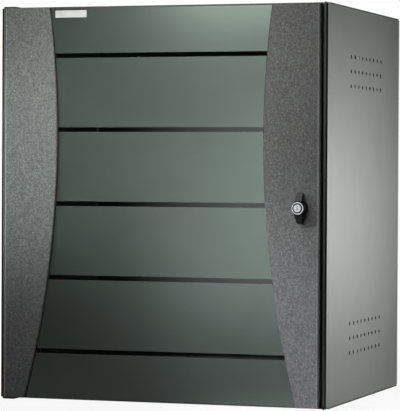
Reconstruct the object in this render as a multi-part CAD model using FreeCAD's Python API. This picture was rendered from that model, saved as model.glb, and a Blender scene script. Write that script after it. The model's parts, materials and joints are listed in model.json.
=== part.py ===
import FreeCAD, Part
import math
import os

# A wall-mounted 19-inch rack cabinet, twelve units high, with a glazed door between two curved stiles.
# Millimetres. X runs to the right of someone who faces the door, Y from the door to the wall, Z up.
# The origin lies under the middle of the body, on the plane that the body stands on.

V = FreeCAD.Vector

# The body, and the rack standard that it is made for
HEIGHT = 625.0
DEPTH = 450.0                # front rim to wall
SIDE_MARGIN = 37.45          # hole column to the outside of the body
UNIT_HEIGHT = 44.45
UNIT_COUNT = 12
HOLE_COLUMN_PITCH = 465.1    # between the two columns of rack holes
HOLE_SQUARE = 9.5
HOLE_FIRST = 6.35            # unit's lower edge to its first hole
HOLE_STEP = 15.875           # first to second hole, and second to third
HOLES_PER_UNIT = 3

# Sheet metal
PANEL_SHEET = 1.2
FRAME_SHEET = 1.2
CARRIER_SHEET = 1.5
RAIL_SHEET = 2.0
EAR_SHEET = 2.0
STILE_SHEET = 1.2
DOOR_SHEET = 1.2
BEND = 0.3                   # inside radius of every fold

# Gaps and fits
PANEL_GROOVE = 1.5           # front rim to the inside of the side panel
PANEL_SETBACK = 2.0          # front rim to the front edge of the side panel
PANEL_SEAM = 0.8             # side panel to the top and bottom panels
SWING_CLEAR = 0.65           # turning door edge to the body
EAR_GAP = 0.4                # hinge ear to the door's end
GASKET_CLEAR = 0.3           # closed door's gasket to the frame
SEAT = 0.2                   # between pieces that are fitted together
RUN = 0.05                   # radial clearance of a pin in its hole
SCREW_CLEAR = 0.3            # radial clearance of a screw in its hole
PAST = 1.0                   # how far a cut runs past the face that it opens
NEAR = 1e-6                  # two lengths that differ by less are the same

# Body
POST_WEB = 21.3              # face of a front post, behind the door
POST_LEG = 44.0              # side of a front post, from the rim
POST_LIP = 5.0               # return at the inner edge of a front post
PANEL_FLANGE = 14.0
FRONT_FLANGE = 30.0          # top and bottom panels, behind the door
REAR_FLANGE = 20.0           # top and bottom panels, at the wall
REAR_RETURN = 25.0           # sides of the rear panel
VENT_ROWS = 3
VENT_COLUMNS = 9
VENT_PITCH = 23.3
VENT_FROM_RIM = 232.0        # front rim to the middle of the vents
VENT_RADIUS = 3.3
VENT_DROP = 78.0             # outer row of vents to the panel's end
WALL_HOLE_RADIUS = 5.0
WALL_HOLES_ACROSS = 400.0
WALL_HOLES_UP = 500.0
CABLE_SLOT_LENGTH = 300.0
CABLE_SLOT_WIDTH = 60.0
CABLE_SLOT_CORNER = 7.5
CABLE_SLOT_FROM_WALL = 65.0  # rear face to the middle of the slot
FAN_RADIUS = 58.0
FAN_FROM_RIM = 165.0         # front rim to the middle of the fan opening
FAN_BOLT_PITCH = 105.0
COVER_SHEET = 1.2
COVER_LAP = 15.0             # cover beyond its opening, on each side
COVER_CORNER = 5.0
COVER_SCREW_HEAD = 1.5
STANDOFF_RADIUS = 6.0        # bosses inside a side panel
EARTH_X = 150.0
EARTH_FROM_RIM = 75.0
EARTH_HEIGHT = 18.0

# Rails and their carriers
CARRIER_DEPTH = 11.6
CARRIER_HEIGHT = 26.0
CARRIER_FLOOR = 18.0         # body's end to the carrier
RAIL_FROM_WEB = 46.0         # front posts' face to the rails' face
RAIL_SIDE = 28.0
RAIL_EDGE = 7.05             # hole column to the rail's free edge
RAIL_TRAVEL = 200.0
RAIL_END_GAP = 2.0
BOLT_RADIUS = 3.0
BOLT_HEAD_RADIUS = 5.0
BOLT_HEAD = 4.0
NUT_FLATS = 10.0
NUT_HEIGHT = 5.0
BOLT_TAIL = 1.5              # bolt beyond its nut
PANEL_SCREW_HEAD = 2.0
PANEL_SCREW_FROM_END = 13.0  # carrier's end to its screw

# Door
DOOR_PROUD = 11.0            # front rim to the door's face
DOOR_DEPTH = 20.0
STILE_WIDTH = 89.0           # at its widest
STILE_WIDEST_DROP = 206.0    # door's top to the widest place
STILE_ARC = 1590.0           # radius of the inner edge
STILE_LIP = 5.7              # depth of the inner edge, face to glass
STILE_CORNER = 2.0
GLASS_THICKNESS = 4.0
GLASS_GAP = 0.3
FROST_THICKNESS = 0.3
STRIPE_COUNT = 5
STRIPE_PITCH = 117.0
STRIPE_HEIGHT = 7.5
CHANNEL_WIDTH = 30.5
DOOR_RAIL_HEIGHT = 22.0
STILE_BOSS_RADIUS = 3.0
SCREW_RADIUS = 1.5           # small screws of stiles, hinge blocks and covers
SCREW_HEAD_RADIUS = 2.8
SCREW_LENGTH = 10.0
STILE_SCREW_DROP = 110.0     # door's end to the outer screws
GASKET_WIDTH = 4.5
GASKET_EDGE = 1.0            # hinge axis to the gasket
GASKET_DROP = 8.0            # door's end to the gasket along it
GASKET_PEG_GAP = 9.0         # drawn pull peg to the gasket under it

# Hinge
PIN_RADIUS = 3.0
PIN_TIP = 0.5                # upper pin below the ear's outer face
BLOCK_WALL = 4.0             # hinge block round its pin
EAR_CORNER = 4.0
UPPER_BLOCK = 62.0
LOWER_BLOCK = 24.0
SPRING_WINDOW = 26.0         # opening in the upper block for spring and peg
WINDOW_DROP = 22.0           # upper block's top to the window
PEG_RADIUS = 2.0
PEG_OUT = 3.5                # peg behind the door's back
PIN_TRAVEL = 5.0
SPRING_WIRE = 0.5            # half the wire's thickness
SPRING_RADIUS = 4.2
SPRING_TURNS = 5
SPRING_RUNS = 16             # straight runs in one turn
WASHER_RADIUS = 4.0

# Lock
LOCK_EDGE = 27.5             # door's side to the lock's axis
LOCK_DROP = 313.5            # door's top to the lock's axis
ROSETTE_RADIUS = 11.8
ROSETTE_THICKNESS = 2.4
ROSETTE_CHAMFER = 0.7
BARREL_RADIUS = 8.0
GLASS_HOLE_CLEAR = 1.0       # radial clearance of the barrel in the glass
LOCK_NUT_FLATS = 20.0
LOCK_NUT_HEIGHT = 4.0
KNOB_RADIUS = 10.5
KNOB_HEIGHT = 16.0           # knob's back to its front
KNOB_CHAMFER = 0.6
WING_LENGTH = 48.0
WING_WIDTH = 13.0
WING_END_WIDTH = 9.0
WING_HEIGHT = 14.5           # knob's back to the wing's crest
WING_END_HEIGHT = 4.0
WING_END_ROUND = 1.2         # side view
WING_CORNER = 2.2            # front view
CREST_LENGTH = 22.0
BEZEL_RADIUS = 9.7
BEZEL_BORE = 7.9
BEZEL_SEAT = 1.0
BEZEL_PROUD = 0.9
BEZEL_CHAMFER = 0.4
PLUG_RADIUS = 5.8
PLUG_DEPTH = 11.0
PLUG_PROUD = 2.0
KEYWAY_WIDTH = 1.4
KEYWAY_HEIGHT = 7.0
KEYWAY_DEPTH = 3.0
SPINDLE_RADIUS = 5.0
SPINDLE_SQUARE = 7.0
CAM_THICKNESS = 2.5
CAM_WIDTH = 14.0
CAM_REACH = 23.0
CAM_TIP_CORNER = 3.5
CAM_HEAD_CORNER = 6.5
CAM_GAP = 0.5                # cam to the post's return
CAM_SCREW_RADIUS = 2.5
CAM_SCREW_FLATS = 8.0
CAM_SCREW_HEAD = 3.0
CAM_SCREW_LENGTH = 8.0

# Outer planes of the body
RACK_SPACE = UNIT_COUNT * UNIT_HEIGHT
RACK_LOW = (HEIGHT - RACK_SPACE) / 2
SIDE_X = HOLE_COLUMN_PITCH / 2 + SIDE_MARGIN
RIM_Y = -DEPTH / 2
WALL_Y = DEPTH / 2

# Section of the front: side panel, groove, rim, door
RIM_WIDTH = 2 * (FRAME_SHEET + BEND)
PANEL_X = SIDE_X - PANEL_SHEET
FRAME_X = PANEL_X - PANEL_GROOVE
RIM_X = FRAME_X - RIM_WIDTH
WEB_X = RIM_X - POST_WEB
LEG_X = FRAME_X - FRAME_SHEET
SWING_GAP = math.hypot(DOOR_DEPTH / 2, DOOR_DEPTH / 2) - DOOR_DEPTH / 2 + SWING_CLEAR
DOOR_X = RIM_X - SWING_GAP
FACE_Y = RIM_Y - DOOR_PROUD
BACK_Y = FACE_Y + DOOR_DEPTH
WEB_Y = BACK_Y + SWING_GAP
WEB_BACK_Y = WEB_Y + FRAME_SHEET
EAR_BACK_Y = WEB_BACK_Y + EAR_SHEET
PANEL_FRONT_Y = EAR_BACK_Y + SEAT
LEG_END_Y = RIM_Y + POST_LEG
LIP_END_Y = WEB_Y + POST_LIP
REAR_IN_Y = WALL_Y - PANEL_SHEET

# Rails, carriers and the screws that hold them
CARRIER_X = LEG_X - CARRIER_DEPTH
CARRIER_FRONT_Y = EAR_BACK_Y + SEAT
CARRIER_BACK_Y = REAR_IN_Y - BEND - SEAT
CARRIER_SCREW_YS = (CARRIER_FRONT_Y + PANEL_SCREW_FROM_END, CARRIER_BACK_Y - PANEL_SCREW_FROM_END)
SLOT_Z = CARRIER_FLOOR + CARRIER_HEIGHT / 2
CARRIER_ZS = (SLOT_Z, HEIGHT - SLOT_Z)
RAIL_Y = WEB_Y + RAIL_FROM_WEB
RAIL_BOLT_Y = RAIL_Y + RAIL_SHEET + (RAIL_SIDE - RAIL_SHEET) / 2

# Door
DOOR_LOW = EAR_SHEET + EAR_GAP
DOOR_TOP = HEIGHT - DOOR_LOW
GLASS_Y = FACE_Y + STILE_LIP + FROST_THICKNESS
GLASS_BACK_Y = GLASS_Y + GLASS_THICKNESS
CHANNEL_X = DOOR_X - STILE_SHEET - SEAT
CHANNEL_IN_X = CHANNEL_X - CHANNEL_WIDTH
CHANNEL_FLOOR_Y = BACK_Y - DOOR_SHEET
STILE_BOSS_X = CHANNEL_X - DOOR_SHEET - BEND - SEAT - STILE_BOSS_RADIUS
STILE_SCREW_ZS = (DOOR_LOW + STILE_SCREW_DROP, (DOOR_LOW + DOOR_TOP) / 2, DOOR_TOP - STILE_SCREW_DROP)
HINGE_X = -(DOOR_X - DOOR_DEPTH / 2)
HINGE_Y = FACE_Y + DOOR_DEPTH / 2
BLOCK_HALF = PIN_RADIUS + BLOCK_WALL
BLOCK_END = STILE_SHEET + SEAT
BLOCK_TOP = DOOR_TOP - BLOCK_END
BLOCK_LOW = DOOR_LOW + BLOCK_END
WINDOW_TOP = BLOCK_TOP - WINDOW_DROP
WINDOW_LOW = WINDOW_TOP - SPRING_WINDOW
PEG_Z = WINDOW_TOP - PEG_RADIUS - SEAT
GLASS_LEFT_X = HINGE_X + BLOCK_HALF + GLASS_GAP
GLASS_RIGHT_X = STILE_BOSS_X - STILE_BOSS_RADIUS - GLASS_GAP
GLASS_LOW = DOOR_LOW + DOOR_SHEET + GLASS_GAP
GLASS_TOP = DOOR_TOP - DOOR_SHEET - GLASS_GAP
GASKET_THICKNESS = SWING_GAP - GASKET_CLEAR

# Lock
LOCK_X = DOOR_X - LOCK_EDGE
LOCK_Z = DOOR_TOP - LOCK_DROP
KNOB_Y = FACE_Y - ROSETTE_THICKNESS - SEAT
KNOB_FRONT_Y = KNOB_Y - KNOB_HEIGHT
PLUG_FRONT_Y = KNOB_FRONT_Y - PLUG_PROUD
CAM_Y = LIP_END_Y + CAM_GAP
CAM_BACK_Y = CAM_Y + CAM_THICKNESS
BARREL_END_Y = CAM_Y - SEAT
GLASS_HOLE_RADIUS = BARREL_RADIUS + GLASS_HOLE_CLEAR

PLANES = {
    "xy": (lambda a, b: V(a, b, 0), V(0, 0, 1)),
    "xz": (lambda a, b: V(a, 0, b), V(0, 1, 0)),
    "yz": (lambda a, b: V(0, a, b), V(1, 0, 0)),
}


def corner_points(before, corner, after, radius):
    """Where a rounded corner leaves its first line, its middle, and where it joins the second line."""
    if radius == 0:
        return corner, None, corner
    back = (before - corner).normalize()
    ahead = (after - corner).normalize()
    half = back.getAngle(ahead) / 2
    inward = (back + ahead).normalize()
    reach = radius / math.tan(half)
    middle = corner + inward * (radius / math.sin(half) - radius)
    return corner + back * reach, middle, corner + ahead * reach


def outline(place, points):
    """Closed wire through the points; a point given as (a, b, r) is a corner rounded to radius r."""
    spots = [place(point[0], point[1]) for point in points]
    radii = [point[2] if len(point) > 2 else 0 for point in points]
    count = len(spots)
    corners = []
    for i in range(count):
        corners.append(corner_points(spots[i - 1], spots[i], spots[(i + 1) % count], radii[i]))
    edges = []
    for i in range(count):
        first, middle, last = corners[i]
        following = corners[(i + 1) % count][0]
        if middle:
            edges.append(Part.Arc(first, middle, last).toShape())
        if last.distanceToPoint(following) > NEAR:
            edges.append(Part.LineSegment(last, following).toShape())
    return Part.Wire(edges)


def prism(plane, points, start, end):
    """Solid of one section, from start to end along the plane's normal."""
    place, normal = PLANES[plane]
    solid = Part.Face(outline(place, points)).extrude(normal * (end - start))
    solid.translate(normal * start)
    return solid


def folded(path, sheet, side):
    """Section of a folded sheet. The path is one face; the other lies on its left (1) or right (-1)."""
    lines = []
    for first, last in zip(path, path[1:]):
        length = math.dist(first, last)
        lines.append(((last[0] - first[0]) / length, (last[1] - first[1]) / length))
    near = []
    far = []
    for i, (a, b) in enumerate(path):
        into = lines[max(i - 1, 0)]
        out = lines[min(i, len(lines) - 1)]
        turn = into[0] * out[1] - into[1] * out[0]
        share = side * sheet / (1 + into[0] * out[0] + into[1] * out[1])
        shifted = (a - (into[1] + out[1]) * share, b + (into[0] + out[0]) * share)
        if turn == 0:
            near.append((a, b))
            far.append(shifted)
            continue
        outside = BEND + sheet
        near.append((a, b, outside if turn * side > 0 else BEND))
        far.append((*shifted, BEND if turn * side > 0 else outside))
    return near + far[::-1]


def box(xs, ys, zs):
    return Part.makeBox(xs[1] - xs[0], ys[1] - ys[0], zs[1] - zs[0], V(xs[0], ys[0], zs[0]))


def rod(radius, start, end):
    return Part.makeCylinder(radius, start.distanceToPoint(end), start, end - start)


def six_sided(flats, centre, along):
    """Closed outline of a hexagon round its centre, square to one axis."""
    reach = flats / math.sqrt(3)
    across = V(along.y, along.z, along.x)
    corners = []
    for turn in range(6):
        corner = FreeCAD.Rotation(along, 60 * turn).multVec(across) * reach
        corners.append(centre + corner)
    return Part.makePolygon(corners + corners[:1])


def hexagon(flats, centre, height, along):
    """Six-sided nut or head, from its centre along one axis."""
    return Part.Face(six_sided(flats, centre, along)).extrude(along * height)


def fused(*shapes):
    return shapes[0].multiFuse(list(shapes[1:])).removeSplitter()


def mirrored(shape):
    return shape.mirror(V(0, 0, 0), V(1, 0, 0))


def flipped(shape):
    """The same piece at the other end of the body's height."""
    return shape.mirror(V(0, 0, HEIGHT / 2), V(0, 0, 1))


def front_post():
    """Right-hand post: a leg along the side, a hemmed rim beside the door, a web behind it and a return."""
    path = [
        (FRAME_X, LEG_END_Y),
        (FRAME_X, RIM_Y),
        (RIM_X, RIM_Y),
        (RIM_X, WEB_Y),
        (WEB_X, WEB_Y),
        (WEB_X, LIP_END_Y),
    ]
    post = prism("xy", folded(path, FRAME_SHEET, -1), 0, HEIGHT)
    behind = (PANEL_FRONT_Y - SEAT, LEG_END_Y + PAST)
    across = (WEB_X - PAST, FRAME_X + PAST)
    ends = [
        box(across, behind, (-PAST, PANEL_SHEET)),
        box(across, behind, (HEIGHT - PANEL_SHEET, HEIGHT + PAST)),
    ]
    holes = []
    for z in CARRIER_ZS:
        screw = V(LEG_X - PAST, CARRIER_SCREW_YS[0], z)
        holes.append(rod(BOLT_RADIUS + SCREW_CLEAR, screw, screw + V(FRAME_SHEET + 2 * PAST, 0, 0)))
    return post.cut(ends + holes)


EAR_XS = (-RIM_X + SEAT, -WEB_X - SEAT)


def left_post():
    """The hinge side's post, cut down at both ends where the hinge ears pass over it."""
    room = (RIM_Y, EAR_BACK_Y)
    depth = EAR_SHEET + BEND
    notches = [
        box((-RIM_X, -WEB_X), room, (-PAST, depth)),
        box((-RIM_X, -WEB_X), room, (HEIGHT - depth, HEIGHT + PAST)),
    ]
    return mirrored(front_post()).cut(notches)


def hinge_ear():
    """Upper ear: a tongue over the door's corner, folded down behind the post's web."""
    tip = HINGE_Y - BLOCK_HALF
    drop = HEIGHT - FRONT_FLANGE
    path = [(tip, HEIGHT), (EAR_BACK_Y, HEIGHT), (EAR_BACK_Y, drop)]
    ear = prism("yz", folded(path, EAR_SHEET, -1), *EAR_XS)
    tips = [edge for edge in ear.Edges if edge.BoundBox.YMax < tip + NEAR]
    uprights = [edge for edge in tips if edge.BoundBox.ZLength > EAR_SHEET / 2]
    ear = ear.makeFillet(EAR_CORNER, uprights)
    axis = V(HINGE_X, HINGE_Y, HEIGHT - EAR_SHEET - PAST)
    hole = rod(PIN_RADIUS + RUN, axis, axis + V(0, 0, EAR_SHEET + 2 * PAST))
    beside_lip = (-WEB_X - FRAME_SHEET - BEND - SEAT, -WEB_X)
    corner = box(beside_lip, (WEB_BACK_Y - BEND, EAR_BACK_Y + PAST), (drop - PAST, HEIGHT - EAR_SHEET))
    return ear.cut([hole, corner])


def cover_holes(centre, length, width, through):
    """Screw holes at the corners of a cover, through the given heights."""
    holes = []
    for x in (-length / 2, length / 2):
        for y in (-width / 2, width / 2):
            low = V(centre[0] + x, centre[1] + y, through[0])
            holes.append(rod(SCREW_RADIUS + SCREW_CLEAR, low, V(low.x, low.y, through[1])))
    return holes


CABLE_CENTRE = (0, WALL_Y - CABLE_SLOT_FROM_WALL)
CABLE_SCREWS = (CABLE_SLOT_LENGTH + COVER_LAP, CABLE_SLOT_WIDTH + COVER_LAP)
FAN_CENTRE = (0, RIM_Y + FAN_FROM_RIM)
FAN_SCREWS = (FAN_BOLT_PITCH, FAN_BOLT_PITCH)


def plate(centre, length, width, zs, radius):
    """Flat plate with rounded corners, centred on a point."""
    x, y = centre
    points = []
    for across, along in ((-1, -1), (1, -1), (1, 1), (-1, 1)):
        points.append((x + across * length / 2, y + along * width / 2, radius))
    return prism("xy", points, *zs)


def end_panel():
    """Top panel: a sheet folded down behind the door and at the wall, open for cables."""
    path = [
        (WEB_Y, HEIGHT - FRONT_FLANGE),
        (WEB_Y, HEIGHT),
        (REAR_IN_Y, HEIGHT),
        (REAR_IN_Y, HEIGHT - REAR_FLANGE),
    ]
    middle = WEB_X - SEAT
    panel = prism("yz", folded(path, PANEL_SHEET, -1), -middle, middle)
    sheet_zs = (HEIGHT - PANEL_SHEET, HEIGHT)
    wings = [
        box((-SIDE_X, -middle), (PANEL_FRONT_Y, REAR_IN_Y - PANEL_SHEET), sheet_zs),
        box((middle, SIDE_X), (PANEL_FRONT_Y, REAR_IN_Y - PANEL_SHEET), sheet_zs),
    ]
    through = (HEIGHT - PANEL_SHEET - PAST, HEIGHT + PAST)
    slot = plate(CABLE_CENTRE, CABLE_SLOT_LENGTH, CABLE_SLOT_WIDTH, through, CABLE_SLOT_CORNER)
    screws = cover_holes(CABLE_CENTRE, *CABLE_SCREWS, through)
    return fused(panel, *wings).cut([slot] + screws)


def top_panel():
    """The upper end panel, with a round opening for a fan."""
    through = (HEIGHT - PANEL_SHEET - PAST, HEIGHT + PAST)
    fan = rod(FAN_RADIUS, V(*FAN_CENTRE, through[0]), V(*FAN_CENTRE, through[1]))
    return end_panel().cut([fan] + cover_holes(FAN_CENTRE, *FAN_SCREWS, through))


def cover_plate(centre, length, width, screws):
    """Blanking plate under the top panel."""
    zs = (HEIGHT - PANEL_SHEET - COVER_SHEET, HEIGHT - PANEL_SHEET)
    blank = plate(centre, length + 2 * COVER_LAP, width + 2 * COVER_LAP, zs, COVER_CORNER)
    return blank.cut(cover_holes(centre, *screws, (zs[0] - PAST, zs[1] + PAST)))


def cover_screws(centre, screws):
    """Screws up through a cover's corners, ending inside the panel's thickness."""
    solids = []
    seat = HEIGHT - PANEL_SHEET - COVER_SHEET
    for x in (-screws[0] / 2, screws[0] / 2):
        for y in (-screws[1] / 2, screws[1] / 2):
            foot = V(centre[0] + x, centre[1] + y, seat)
            head = rod(SCREW_HEAD_RADIUS, foot - V(0, 0, COVER_SCREW_HEAD), foot)
            shank = rod(SCREW_RADIUS, foot, foot + V(0, 0, COVER_SHEET + PANEL_SHEET - SEAT))
            solids.append(fused(head, shank))
    return solids


def side_panel():
    """Right-hand panel: folded in at top and bottom, vented in two groups, with bosses for its screws."""
    low = PANEL_SHEET + PANEL_SEAM
    high = HEIGHT - low
    flange_x = SIDE_X - PANEL_FLANGE
    path = [(flange_x, low), (SIDE_X, low), (SIDE_X, high), (flange_x, high)]
    front = RIM_Y + PANEL_SETBACK
    flanged = (LEG_END_Y + SEAT, WALL_Y - REAR_RETURN - SEAT)
    panel = prism("xz", folded(path, PANEL_SHEET, 1), *flanged)
    panel = fused(panel, box((PANEL_X, SIDE_X), (front, WALL_Y), (low, high)))
    middle = RIM_Y + VENT_FROM_RIM
    vents = []
    for row in range(VENT_ROWS):
        for column in range(VENT_COLUMNS):
            y = middle + (column - (VENT_COLUMNS - 1) / 2) * VENT_PITCH
            drop = VENT_DROP + row * VENT_PITCH
            for z in (drop, HEIGHT - drop):
                vents.append(rod(VENT_RADIUS, V(PANEL_X - PAST, y, z), V(SIDE_X + PAST, y, z)))
    bosses = []
    for y in CARRIER_SCREW_YS:
        for z in CARRIER_ZS:
            boss = rod(STANDOFF_RADIUS, V(FRAME_X, y, z), V(PANEL_X, y, z))
            bosses.append(boss.cut(rod(BOLT_RADIUS + RUN, V(FRAME_X, y, z), V(PANEL_X, y, z))))
    return fused(panel.cut(vents), *bosses)


def rear_panel():
    """Back of the body, folded forward at both sides, with four holes for wall bolts."""
    path = [
        (-FRAME_X, WALL_Y - REAR_RETURN),
        (-FRAME_X, WALL_Y),
        (FRAME_X, WALL_Y),
        (FRAME_X, WALL_Y - REAR_RETURN),
    ]
    panel = prism("xy", folded(path, PANEL_SHEET, -1), 0, HEIGHT)
    returns = (WALL_Y - REAR_RETURN - PAST, REAR_IN_Y)
    across = (-FRAME_X - PAST, FRAME_X + PAST)
    ends = [
        box(across, returns, (-PAST, PANEL_SHEET)),
        box(across, returns, (HEIGHT - PANEL_SHEET, HEIGHT + PAST)),
    ]
    holes = []
    for x in (-WALL_HOLES_ACROSS / 2, WALL_HOLES_ACROSS / 2):
        for z in (HEIGHT / 2 - WALL_HOLES_UP / 2, HEIGHT / 2 + WALL_HOLES_UP / 2):
            holes.append(rod(WALL_HOLE_RADIUS, V(x, REAR_IN_Y - PAST, z), V(x, WALL_Y + PAST, z)))
    for z in CARRIER_ZS:
        y = CARRIER_SCREW_YS[1]
        for side in (-1, 1):
            start = V(side * (LEG_X - PAST), y, z)
            holes.append(rod(BOLT_RADIUS + SCREW_CLEAR, start, V(side * (FRAME_X + PAST), y, z)))
    return panel.cut(ends + holes)


def slot(radius, start, end, depth_x):
    """Round-ended slot along Y, cut through in X."""
    x0, x1 = depth_x
    ends = [rod(radius, V(x0, y, start.z), V(x1, y, start.z)) for y in (start.y, end.y)]
    return fused(box((x0, x1), (start.y, end.y), (start.z - radius, start.z + radius)), *ends)


def rail_carrier():
    """Lower right carrier: a channel from post to rear panel, slotted so that the rail can move in depth."""
    low = CARRIER_FLOOR
    high = low + CARRIER_HEIGHT
    path = [(CARRIER_X, high), (CARRIER_X, low), (LEG_X, low), (LEG_X, high)]
    channel = prism("xz", folded(path, CARRIER_SHEET, 1), CARRIER_FRONT_Y, CARRIER_BACK_Y)
    wall = (CARRIER_X - PAST, CARRIER_X + CARRIER_SHEET + PAST)
    start = V(0, RAIL_BOLT_Y, SLOT_Z)
    cuts = [slot(BOLT_RADIUS + SCREW_CLEAR, start, start + V(0, RAIL_TRAVEL, 0), wall)]
    for y in CARRIER_SCREW_YS:
        driver = V(wall[0], y, SLOT_Z)
        cuts.append(rod(BOLT_HEAD_RADIUS + SCREW_CLEAR, driver, V(wall[1], y, SLOT_Z)))
        cuts.append(rod(BOLT_RADIUS + SCREW_CLEAR, V(wall[1], y, SLOT_Z), V(LEG_X + PAST, y, SLOT_Z)))
    return channel.cut(cuts)


def panel_screws():
    """Right-hand screws through carrier, frame and side panel boss."""
    seat_x = LEG_X - CARRIER_SHEET
    solids = []
    for y in CARRIER_SCREW_YS:
        for z in CARRIER_ZS:
            seat = V(seat_x, y, z)
            head = rod(BOLT_HEAD_RADIUS, seat - V(PANEL_SCREW_HEAD, 0, 0), seat)
            solids.append(fused(head, rod(BOLT_RADIUS, seat, V(PANEL_X, y, z))))
    return solids


def mounting_rail():
    """Right-hand rail: an angle whose face carries three square holes in each unit."""
    low = CARRIER_FLOOR + RAIL_END_GAP
    column = HOLE_COLUMN_PITCH / 2
    path = [
        (column - RAIL_EDGE, RAIL_Y),
        (CARRIER_X, RAIL_Y),
        (CARRIER_X, RAIL_Y + RAIL_SIDE),
    ]
    rail = prism("xy", folded(path, RAIL_SHEET, 1), low, HEIGHT - low)
    half = HOLE_SQUARE / 2
    cuts = []
    for unit in range(UNIT_COUNT):
        for hole in range(HOLES_PER_UNIT):
            z = RACK_LOW + unit * UNIT_HEIGHT + HOLE_FIRST + hole * HOLE_STEP
            face = (RAIL_Y - PAST, RAIL_Y + RAIL_SHEET + PAST)
            cuts.append(box((column - half, column + half), face, (z - half, z + half)))
    for z in CARRIER_ZS:
        bolt = V(CARRIER_X - RAIL_SHEET - PAST, RAIL_BOLT_Y, z)
        cuts.append(rod(BOLT_RADIUS + SCREW_CLEAR, bolt, V(CARRIER_X + PAST, RAIL_BOLT_Y, z)))
    return rail.cut(cuts)


def rail_bolts():
    """Right-hand bolts, their heads inside the rail and their tails in the carrier."""
    solids = []
    for z in CARRIER_ZS:
        seat = V(CARRIER_X - RAIL_SHEET, RAIL_BOLT_Y, z)
        tail = V(CARRIER_X + CARRIER_SHEET + NUT_HEIGHT + BOLT_TAIL, RAIL_BOLT_Y, z)
        head = rod(BOLT_HEAD_RADIUS, seat - V(BOLT_HEAD, 0, 0), seat)
        solids.append(fused(head, rod(BOLT_RADIUS, seat, tail)))
    return solids


def rail_nuts():
    solids = []
    for z in CARRIER_ZS:
        seat = V(CARRIER_X + CARRIER_SHEET, RAIL_BOLT_Y, z)
        nut = hexagon(NUT_FLATS, seat, NUT_HEIGHT, V(1, 0, 0))
        solids.append(nut.cut(rod(BOLT_RADIUS, seat, seat + V(NUT_HEIGHT, 0, 0))))
    return solids


def stile_outline(inset):
    """Right-hand stile seen from the front, drawn in by a distance: straight outside, one arc inside."""
    centre_x = DOOR_X - STILE_WIDTH + STILE_ARC
    centre_z = DOOR_TOP - STILE_WIDEST_DROP
    radius = STILE_ARC - inset
    side = DOOR_X - inset
    low = DOOR_LOW + inset
    high = DOOR_TOP - inset

    def on_arc(z):
        return V(centre_x - math.sqrt(radius ** 2 - (z - centre_z) ** 2), 0, z)

    corners = [on_arc(low), V(side, 0, low), V(side, 0, high), on_arc(high)]
    edges = [Part.LineSegment(a, b).toShape() for a, b in zip(corners, corners[1:])]
    edges.append(Part.Arc(corners[3], on_arc(centre_z), corners[0]).toShape())
    return Part.Face(Part.Wire(edges))


def stile():
    """Right-hand stile: a pressed tray with a curved inner edge and a deep outer return on bosses."""
    tray = stile_outline(0).extrude(V(0, STILE_LIP, 0))
    rim = [edge for edge in tray.Edges if edge.BoundBox.YMax < NEAR]
    tray = tray.makeFillet(STILE_CORNER, rim)
    pocket = stile_outline(STILE_SHEET).extrude(V(0, STILE_LIP, 0))
    pocket.translate(V(0, STILE_SHEET, 0))
    tray = tray.cut(pocket)
    tray.translate(V(0, FACE_Y, 0))
    pieces = [box((DOOR_X - STILE_SHEET, DOOR_X), (FACE_Y + STILE_LIP, BACK_Y), (DOOR_LOW, DOOR_TOP))]
    screws = []
    for z in STILE_SCREW_ZS:
        top = V(STILE_BOSS_X, FACE_Y + STILE_SHEET, z)
        foot = V(STILE_BOSS_X, CHANNEL_FLOOR_Y, z)
        pieces.append(rod(STILE_BOSS_RADIUS, top, foot))
        screws.append(rod(SCREW_RADIUS, foot - V(0, SCREW_LENGTH, 0), foot + V(0, PAST, 0)))
    return fused(tray, *pieces).cut(screws)


def lock_hole(radius, ys):
    return rod(radius, V(LOCK_X, ys[0], LOCK_Z), V(LOCK_X, ys[1], LOCK_Z))


def countersunk(seat, direction):
    """Small screw whose flat head lies flush with the sheet at its seat."""
    cone = Part.makeCone(SCREW_HEAD_RADIUS, SCREW_RADIUS, DOOR_SHEET, seat, direction)
    neck = seat + direction * DOOR_SHEET
    return fused(cone, rod(SCREW_RADIUS, neck, seat + direction * SCREW_LENGTH))


def stile_screw_seats():
    """Right-hand places on the channel's back where the stile's screws enter."""
    return [V(STILE_BOSS_X, BACK_Y, z) for z in STILE_SCREW_ZS]


def hinge_screw_seats():
    """Places on the left channel's back where the hinge blocks' screws enter."""
    above_window = (BLOCK_TOP + WINDOW_TOP) / 2
    below_window = (WINDOW_LOW + BLOCK_TOP - UPPER_BLOCK) / 2
    lower = BLOCK_LOW + LOWER_BLOCK / 2
    x = HINGE_X + PIN_RADIUS + BLOCK_WALL / 2
    return [V(x, BACK_Y, z) for z in (above_window, below_window, lower)]


def screw_recess(seat):
    return countersunk(seat, V(0, -1, 0))


def door_channel():
    """Right-hand channel behind the glass, open towards it, countersunk for the stile's screws."""
    path = [
        (CHANNEL_IN_X, GLASS_BACK_Y),
        (CHANNEL_IN_X, BACK_Y),
        (CHANNEL_X, BACK_Y),
        (CHANNEL_X, GLASS_BACK_Y),
    ]
    channel = prism("xy", folded(path, DOOR_SHEET, -1), DOOR_LOW, DOOR_TOP)
    return channel.cut([screw_recess(seat) for seat in stile_screw_seats()])


def left_channel():
    """Hinge side's channel, with a slot for the pull peg and recesses for the hinge blocks' screws."""
    cuts = [screw_recess(seat) for seat in hinge_screw_seats()]
    half = PEG_RADIUS + SCREW_CLEAR
    across = (HINGE_X - half, HINGE_X + half)
    through = (CHANNEL_FLOOR_Y - PAST, BACK_Y + PAST)
    cuts.append(box(across, through, (PEG_Z - PIN_TRAVEL - half, PEG_Z + half)))
    return mirrored(door_channel()).cut(cuts)


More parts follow.
